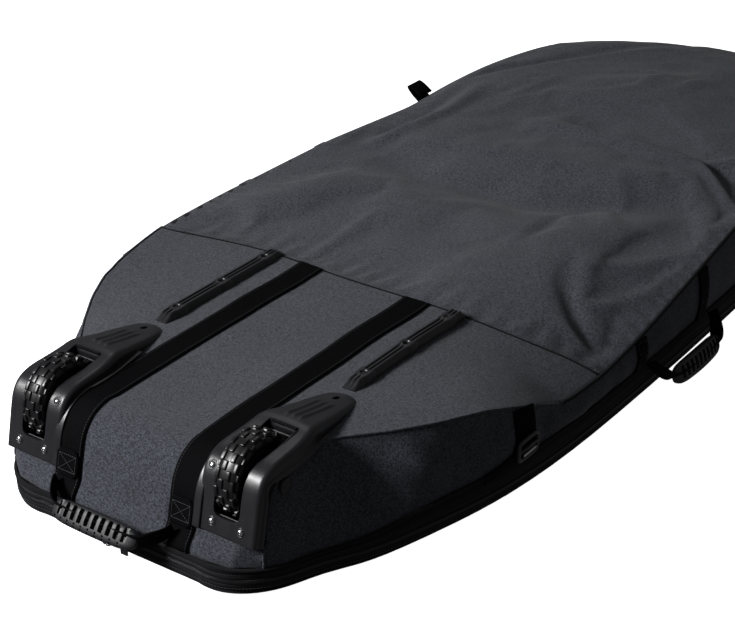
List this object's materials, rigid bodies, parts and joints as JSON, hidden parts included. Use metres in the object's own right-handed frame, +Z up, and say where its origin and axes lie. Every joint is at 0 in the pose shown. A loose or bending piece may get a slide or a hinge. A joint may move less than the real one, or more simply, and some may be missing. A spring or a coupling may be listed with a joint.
{
  "type": "snowboard bag",
  "caption": "Long padded travel bag for boards, with an all-round zip, tail wheels in moulded housings, skid rails, webbing straps and carrying handles.",
  "frame": {"origin": "centre of the footprint, on the floor the zipped lid lies on", "axes": "+X from the wheeled tail to the nose, +Y towards the hinged long side, +Z up"},
  "size_m": [1.6925, 0.7614, 0.182],
  "materials": {
    "heather_fabric": "charcoal heather polyester weave, matte",
    "black_fabric": "black woven polyester",
    "webbing": "black ribbed nylon webbing",
    "piping": "black piping",
    "zip_tape": "black woven zip tape",
    "zip_coil": "black nylon coil",
    "satin_plastic": "black moulded plastic, satin",
    "grip_rubber": "black moulded rubber",
    "tyre": "black glossy rubber tread",
    "hub_plastic": "black moulded hub",
    "steel": "bright zinc plated steel",
    "black_screw": "blackened steel",
    "backing_steel": "plain steel",
    "board_plastic": "black sheet plastic",
    "slider_metal": "black enamelled zinc"
  },
  "bodies": {
    "lid": {"lid_panel": "heather_fabric", "lid_padding": "black_fabric", "lid_band": "black_fabric", "lid_piping": "piping", "lid_zip_tape": "zip_tape", "lid_zip_teeth": "zip_coil"},
    "shell": {"tail_wall": "heather_fabric", "tail_top_panel": "heather_fabric", "main_top_panel": "heather_fabric", "near_side_wall": "heather_fabric", "far_side_wall": "heather_fabric", "nose_wall": "heather_fabric", "shell_band": "black_fabric", "shell_zip_tape": "zip_tape", "shell_zip_teeth": "zip_coil", "hinge_tape": "black_fabric", "shell_piping": "piping", "edge_piping": "piping", "tail_stiffener_board": "board_plastic", "backing_plates": "backing_steel", "near_wheel_housing": "satin_plastic", "far_wheel_housing": "satin_plastic", "housing_screws": "steel", "near_skid_rail": "satin_plastic", "far_skid_rail": "satin_plastic", "rail_screws": "black_screw", "near_axle": "steel", "far_axle": "steel", "axle_caps": "satin_plastic", "axle_spacers": "steel", "axle_nuts": "steel", "near_tail_strap": "webbing", "far_tail_strap": "webbing", "handle_patches": "webbing", "near_side_handle_legs": "webbing", "far_side_handle_legs": "webbing", "near_compression_strap": "webbing", "far_compression_strap": "webbing", "near_compression_buckle": "satin_plastic", "far_compression_buckle": "satin_plastic", "far_loop_tab": "webbing", "tie_down_straps": "webbing", "tie_down_buckles": "satin_plastic"},
    "near_wheel": {"near_tyre": "tyre", "near_wheel_hub": "hub_plastic", "near_wheel_bearings": "steel"},
    "far_wheel": {"far_tyre": "tyre", "far_wheel_hub": "hub_plastic", "far_wheel_bearings": "steel"},
    "tail_handle": {"tail_handle_webbing": "webbing", "tail_handle_grip": "grip_rubber"},
    "near_handle": {"near_side_handle_webbing": "webbing", "near_side_handle_grip": "grip_rubber"},
    "far_handle": {"far_side_handle_webbing": "webbing", "far_side_handle_grip": "grip_rubber"},
    "far_slider": {"zip_slider_far": "slider_metal"},
    "near_slider": {"zip_slider_near": "slider_metal"},
    "pull_ring": {"pull_ring": "steel"},
    "pull_tab": {"pull_tab": "slider_metal"}
  },
  "joints": [
    {"name": "shell_hinge", "type": "hinge", "parent": "lid", "child": "shell", "pos_m": [0, 0.3395, 0.022], "axis": [-1, 0, 0], "range_deg": [0, 65]},
    {"name": "near_wheel_spin", "type": "hinge", "parent": "shell", "child": "near_wheel", "pos_m": [-0.73725, -0.15, 0.129], "axis": [0, 1, 0], "continuous": true},
    {"name": "far_wheel_spin", "type": "hinge", "parent": "shell", "child": "far_wheel", "pos_m": [-0.73725, 0.15, 0.129], "axis": [0, 1, 0], "continuous": true},
    {"name": "tail_handle_swing", "type": "hinge", "parent": "shell", "child": "tail_handle", "pos_m": [-0.80625, 0.008, 0.062], "axis": [0, 1, 0], "range_deg": [0, 80]},
    {"name": "near_handle_swing", "type": "hinge", "parent": "shell", "child": "near_handle", "pos_m": [-0.04825, -0.353, 0.064], "axis": [-1, 0, 0], "range_deg": [0, 110]},
    {"name": "far_handle_swing", "type": "hinge", "parent": "shell", "child": "far_handle", "pos_m": [-0.04825, 0.353, 0.064], "axis": [1, 0, 0], "range_deg": [0, 110]},
    {"name": "far_slider_travel", "type": "slide", "parent": "lid", "child": "far_slider", "axis": [0, 1, 0], "range_m": [0, 0.09]},
    {"name": "near_slider_travel", "type": "slide", "parent": "lid", "child": "near_slider", "axis": [0, -1, 0], "range_m": [0, 0.09]},
    {"name": "pull_ring_swing", "type": "hinge", "parent": "far_slider", "child": "pull_ring", "pos_m": [-0.81425, 0.014, 0.022], "axis": [0, 1, 0], "range_deg": [0, 100]},
    {"name": "pull_tab_swing", "type": "hinge", "parent": "near_slider", "child": "pull_tab", "pos_m": [-0.81425, -0.014, 0.022], "axis": [0, 1, 0], "range_deg": [0, 100]}
  ]
}
